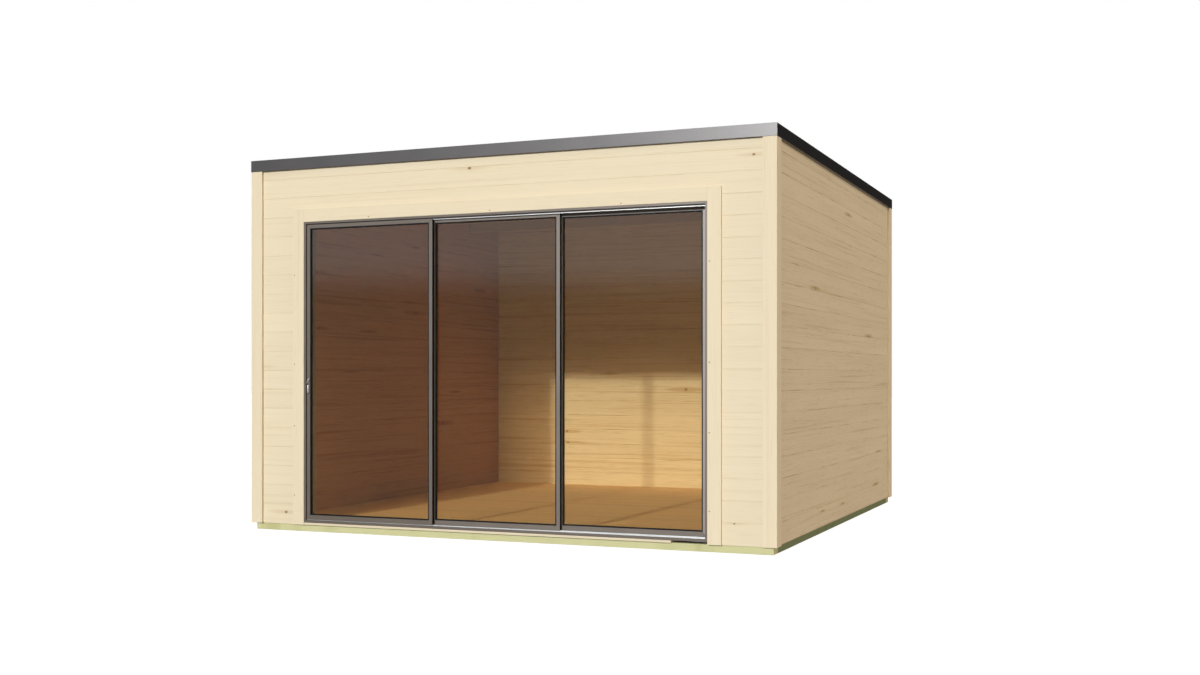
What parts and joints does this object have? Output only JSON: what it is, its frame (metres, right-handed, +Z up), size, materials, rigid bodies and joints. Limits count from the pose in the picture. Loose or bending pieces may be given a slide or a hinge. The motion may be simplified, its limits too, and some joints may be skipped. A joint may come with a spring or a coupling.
{
  "type": "annex cabin",
  "caption": "Square flat-roofed garden cabin of pale wall logs with a dark roof edge, timber floor and a wide front door of sliding bronze glass panels in slim dark frames.",
  "frame": {"origin": "on the ground under the centre of the cabin", "axes": "+X to the right along the front, +Y from the front to the back, +Z up"},
  "size_m": [3.64, 3.64, 2.48],
  "materials": {
    "wall_logs": "planed, untreated spruce",
    "trim_boards": "planed, untreated spruce",
    "floor_boards": "planed softwood boards",
    "roof_timber": "sawn softwood",
    "treated_timber": "pressure treated, pale green",
    "roof_cover": "matt membrane",
    "roof_trim": "satin dark grey",
    "door_aluminium": "satin dark grey coating",
    "bronze_glass": "clear with a bronze tint",
    "roller_plastic": "moulded",
    "handle_metal": "satin"
  },
  "bodies": {
    "cabin": {"front_bearer": "treated_timber", "back_bearer": "treated_timber", "side_bearers": "treated_timber", "floor_joists": "treated_timber", "floor_deck": "floor_boards", "left_wall": "wall_logs", "right_wall": "wall_logs", "back_wall": "wall_logs", "front_wall_left": "wall_logs", "front_wall_right": "wall_logs", "front_wall_top": "wall_logs", "front_corner_boards": "trim_boards", "back_corner_boards": "trim_boards", "left_corner_boards": "trim_boards", "right_corner_boards": "trim_boards", "door_casing_sides": "trim_boards", "door_casing_head": "trim_boards", "door_sill_strip": "trim_boards", "roof_purlins": "roof_timber", "roof_deck": "roof_timber", "roof_cover": "roof_cover", "roof_edge_boards": "roof_timber", "front_roof_trim": "roof_trim", "back_roof_trim": "roof_trim", "left_roof_trim": "roof_trim", "right_roof_trim": "roof_trim", "door_frame_head": "door_aluminium", "door_frame_sill": "door_aluminium", "door_frame_left_jamb": "door_aluminium", "door_frame_right_jamb": "door_aluminium", "right_panel_stiles": "door_aluminium", "right_panel_rails": "door_aluminium", "right_panel_glass": "bronze_glass", "right_panel_rollers": "roller_plastic"},
    "left_panel": {"left_panel_stiles": "door_aluminium", "left_panel_rails": "door_aluminium", "left_panel_glass": "bronze_glass", "left_panel_rollers": "roller_plastic", "door_handle": "handle_metal"},
    "middle_panel": {"middle_panel_stiles": "door_aluminium", "middle_panel_rails": "door_aluminium", "middle_panel_glass": "bronze_glass", "middle_panel_rollers": "roller_plastic"}
  },
  "joints": [
    {"name": "left_panel_slide", "type": "slide", "parent": "cabin", "child": "left_panel", "axis": [1, 0, 0], "range_m": [0, 1.8155]},
    {"name": "middle_panel_slide", "type": "slide", "parent": "cabin", "child": "middle_panel", "axis": [1, 0, 0], "range_m": [0, 0.9395]}
  ]
}
